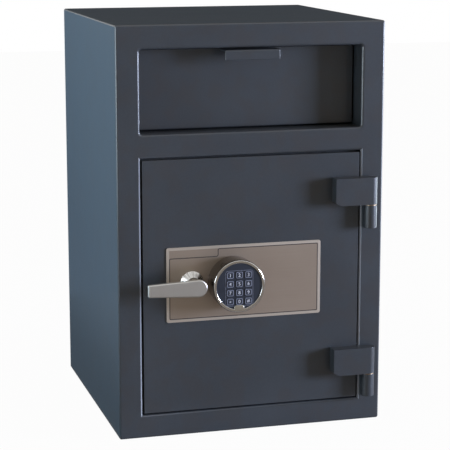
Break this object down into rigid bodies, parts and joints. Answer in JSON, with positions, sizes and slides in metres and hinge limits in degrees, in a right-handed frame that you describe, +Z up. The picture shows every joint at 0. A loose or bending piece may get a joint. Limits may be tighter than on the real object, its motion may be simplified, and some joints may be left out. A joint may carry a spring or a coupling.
{
  "type": "deposit safe",
  "caption": "Front-loading deposit safe: welded steel cabinet, tilting deposit hopper above a thick hinged door with lever-driven bolts and a keypad lock.",
  "frame": {"origin": "centre of the cabinet's base, on the floor", "axes": "+Z up, -Y out of the door and the deposit opening, +X to the right as seen from the front, the side with the hinges"},
  "size_m": [0.508, 0.5628, 0.762],
  "materials": {
    "cabinet_paint": "satin charcoal enamel with a fine texture",
    "door_paint": "satin charcoal enamel with a fine texture",
    "hopper_paint": "satin charcoal enamel with a fine texture",
    "inner_paint": "matt charcoal undercoat",
    "machined_steel": "turned or milled bright steel",
    "zinc_plate": "zinc-plated sheet and casting",
    "brass": "turned brass",
    "brushed_plate": "stainless sheet brushed along its length",
    "satin_nickel": "cast lever with a satin nickel plate",
    "chrome": "bright chrome plate",
    "badge_metal": "plain satin tab",
    "keypad_plastic": "navy-black moulding",
    "key_plastic": "rubber-touch keys with pale figures",
    "circuit_board": "green solder mask",
    "battery_case": "plain sleeve",
    "cable_sheath": "black sheath"
  },
  "bodies": {
    "cabinet": {"left_side_panel": "cabinet_paint", "right_side_panel": "cabinet_paint", "top_panel": "cabinet_paint", "bottom_panel": "cabinet_paint", "back_panel": "cabinet_paint", "front_frame": "cabinet_paint", "door_stop_frame": "cabinet_paint", "deposit_surround": "cabinet_paint", "anti_fish_baffle": "inner_paint", "lower_hinge_knuckle": "cabinet_paint", "upper_hinge_knuckle": "cabinet_paint", "lower_hinge_pin": "machined_steel", "upper_hinge_pin": "machined_steel", "lower_hinge_washer": "brass", "upper_hinge_washer": "brass", "hopper_pivot_pin_left": "machined_steel", "hopper_pivot_pin_right": "machined_steel"},
    "door": {"door_plate": "door_paint", "lower_hinge_leaf": "door_paint", "upper_hinge_leaf": "door_paint", "lock_faceplate": "brushed_plate", "keypad_housing": "chrome", "keypad_face": "keypad_plastic", "keypad_badge": "badge_metal", "keypad_board": "circuit_board", "keypad_battery": "battery_case", "keypad_cable": "cable_sheath", "handle_rose": "chrome", "hard_plate": "machined_steel", "lock_case": "zinc_plate", "dead_bar": "machined_steel", "bolt_guide_channel": "zinc_plate", "door_inner_cover": "inner_paint", "lower_carriage_stud": "machined_steel", "upper_carriage_stud": "machined_steel"},
    "handle": {"lever_handle": "satin_nickel", "handle_spindle": "machined_steel", "handle_cam": "machined_steel"},
    "boltwork": {"bolt_carriage": "zinc_plate", "lower_door_bolt": "machined_steel", "middle_door_bolt": "machined_steel", "upper_door_bolt": "machined_steel"},
    "swing_bolt": {"lock_swing_bolt": "brass"},
    "hopper": {"hopper_front_plate": "hopper_paint", "hopper_pull_lip": "hopper_paint", "hopper_tray": "inner_paint", "hopper_cheek_left": "inner_paint", "hopper_cheek_right": "inner_paint"},
    "key_1": {"key_1": "key_plastic"},
    "key_2": {"key_2": "key_plastic"},
    "key_3": {"key_3": "key_plastic"},
    "key_4": {"key_4": "key_plastic"},
    "key_5": {"key_5": "key_plastic"},
    "key_6": {"key_6": "key_plastic"},
    "key_7": {"key_7": "key_plastic"},
    "key_8": {"key_8": "key_plastic"},
    "key_9": {"key_9": "key_plastic"},
    "key_star": {"key_star": "key_plastic"},
    "key_0": {"key_0": "key_plastic"},
    "key_hash": {"key_hash": "key_plastic"}
  },
  "joints": [
    {"name": "door_swing", "type": "hinge", "parent": "cabinet", "child": "door", "pos_m": [0.226, -0.2667, 0.283], "axis": [0, 0, 1], "range_deg": [0, 160]},
    {"name": "hopper_tilt", "type": "hinge", "parent": "cabinet", "child": "hopper", "pos_m": [0, -0.201, 0.58], "axis": [1, 0, 0], "range_deg": [0, 60]},
    {"name": "handle_turn", "type": "hinge", "parent": "door", "child": "handle", "pos_m": [-0.116, -0.274, 0.2905], "axis": [0, -1, 0], "range_deg": [0, 60]},
    {"name": "bolt_slide", "type": "slide", "parent": "door", "child": "boltwork", "axis": [-1, 0, 0], "range_m": [0, 0.025]},
    {"name": "swing_bolt_turn", "type": "hinge", "parent": "door", "child": "swing_bolt", "pos_m": [-0.052, -0.229, 0.3], "axis": [0, 1, 0], "range_deg": [0, 75]},
    {"name": "key_1_press", "type": "slide", "parent": "door", "child": "key_1", "axis": [0, 1, 0], "range_m": [0, 0.0012], "stiffness_N_per_m": 500},
    {"name": "key_2_press", "type": "slide", "parent": "door", "child": "key_2", "axis": [0, 1, 0], "range_m": [0, 0.0012], "stiffness_N_per_m": 500},
    {"name": "key_3_press", "type": "slide", "parent": "door", "child": "key_3", "axis": [0, 1, 0], "range_m": [0, 0.0012], "stiffness_N_per_m": 500},
    {"name": "key_4_press", "type": "slide", "parent": "door", "child": "key_4", "axis": [0, 1, 0], "range_m": [0, 0.0012], "stiffness_N_per_m": 500},
    {"name": "key_5_press", "type": "slide", "parent": "door", "child": "key_5", "axis": [0, 1, 0], "range_m": [0, 0.0012], "stiffness_N_per_m": 500},
    {"name": "key_6_press", "type": "slide", "parent": "door", "child": "key_6", "axis": [0, 1, 0], "range_m": [0, 0.0012], "stiffness_N_per_m": 500},
    {"name": "key_7_press", "type": "slide", "parent": "door", "child": "key_7", "axis": [0, 1, 0], "range_m": [0, 0.0012], "stiffness_N_per_m": 500},
    {"name": "key_8_press", "type": "slide", "parent": "door", "child": "key_8", "axis": [0, 1, 0], "range_m": [0, 0.0012], "stiffness_N_per_m": 500},
    {"name": "key_9_press", "type": "slide", "parent": "door", "child": "key_9", "axis": [0, 1, 0], "range_m": [0, 0.0012], "stiffness_N_per_m": 500},
    {"name": "key_star_press", "type": "slide", "parent": "door", "child": "key_star", "axis": [0, 1, 0], "range_m": [0, 0.0012], "stiffness_N_per_m": 500},
    {"name": "key_0_press", "type": "slide", "parent": "door", "child": "key_0", "axis": [0, 1, 0], "range_m": [0, 0.0012], "stiffness_N_per_m": 500},
    {"name": "key_hash_press", "type": "slide", "parent": "door", "child": "key_hash", "axis": [0, 1, 0], "range_m": [0, 0.0012], "stiffness_N_per_m": 500}
  ],
  "couplings": [
    {"joint": "bolt_slide", "follows": "handle_turn", "m_per_rad": 0.02387},
    {"joint": "swing_bolt_turn", "follows": "handle_turn", "ratio": 1.25}
  ]
}
